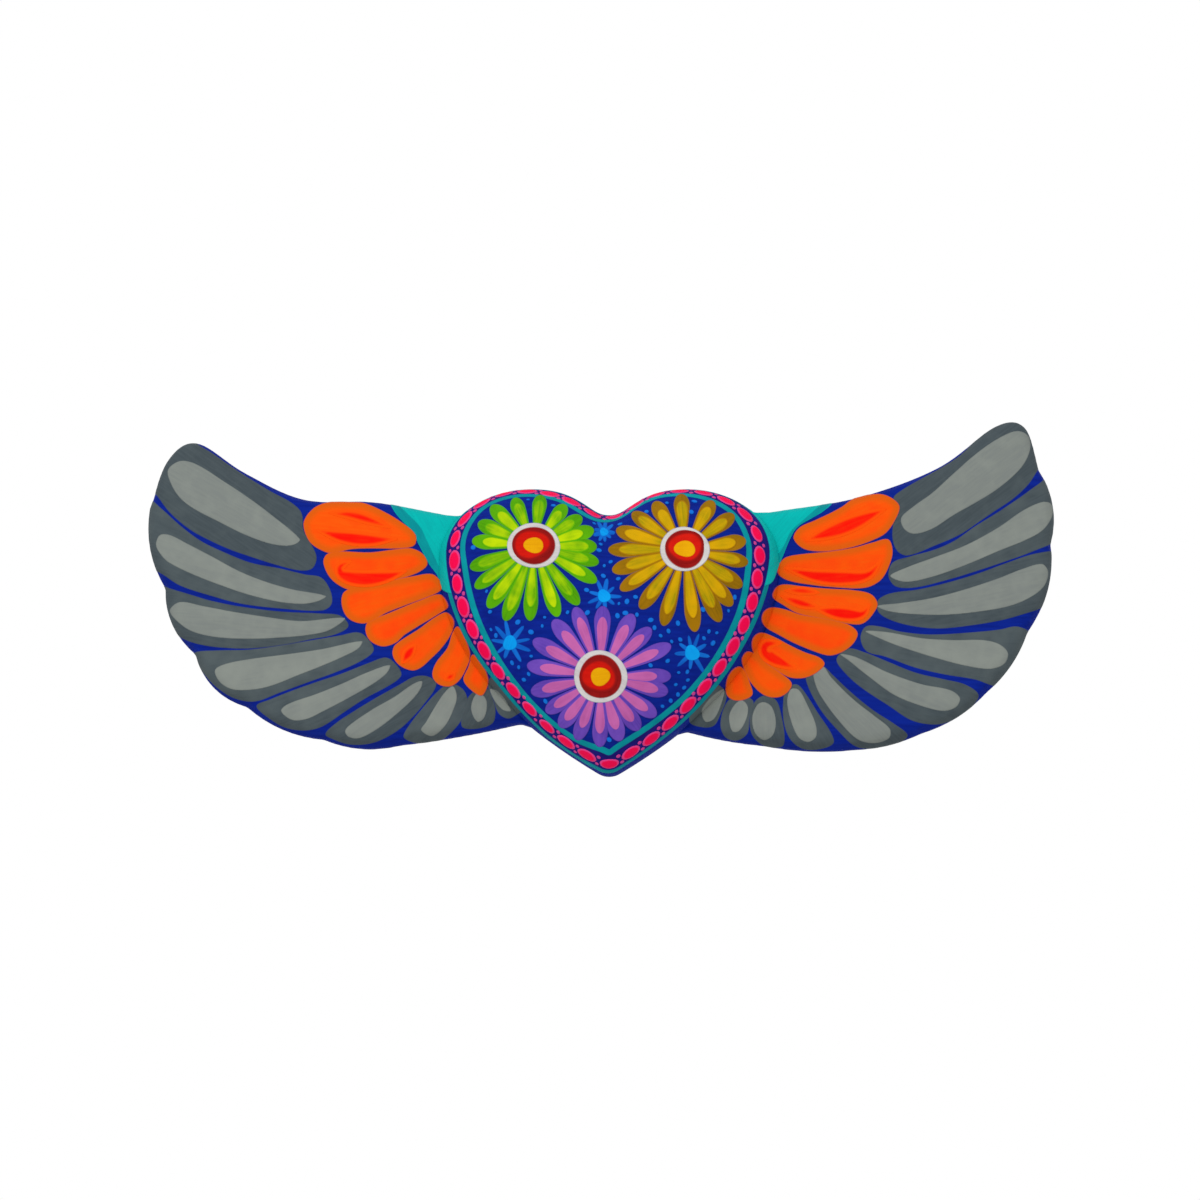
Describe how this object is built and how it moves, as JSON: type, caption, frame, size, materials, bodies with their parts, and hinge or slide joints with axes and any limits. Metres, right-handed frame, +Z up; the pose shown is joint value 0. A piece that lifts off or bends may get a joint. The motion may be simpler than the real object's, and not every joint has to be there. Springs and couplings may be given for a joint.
{
  "type": "winged heart wall hanging",
  "caption": "Carved and painted wooden heart with a feathered wing dowelled to each flank, flat at the back with a sunk ring hanger, made to hang on a wall.",
  "frame": {"origin": "on the flat back of the heart, on its centre line, just under the hollow for the hanger", "axes": "+X to the right along the wings as seen from the front, +Y out of the back towards the wall, +Z up"},
  "size_m": [0.3219, 0.038, 0.1277],
  "materials": {
    "heart_paint": "brushed acrylic paint on carved wood, satin",
    "wing_paint": "brushed acrylic paint on carved wood, satin",
    "beech": "bare turned beech",
    "plated_steel": "bright zinc plating"
  },
  "bodies": {
    "ornament": {"heart_body": "heart_paint", "left_wing": "wing_paint", "right_wing": "wing_paint", "left_upper_dowel": "beech", "left_lower_dowel": "beech", "right_upper_dowel": "beech", "right_lower_dowel": "beech", "hanger_strap": "plated_steel", "hanger_screw": "plated_steel"},
    "ring": {"hanger_ring": "plated_steel"}
  },
  "joints": [
    {"name": "ring_swing", "type": "hinge", "parent": "ornament", "child": "ring", "pos_m": [0, -0.0046, 0.019], "axis": [-1, 0, 0], "range_deg": [0, 180]}
  ]
}
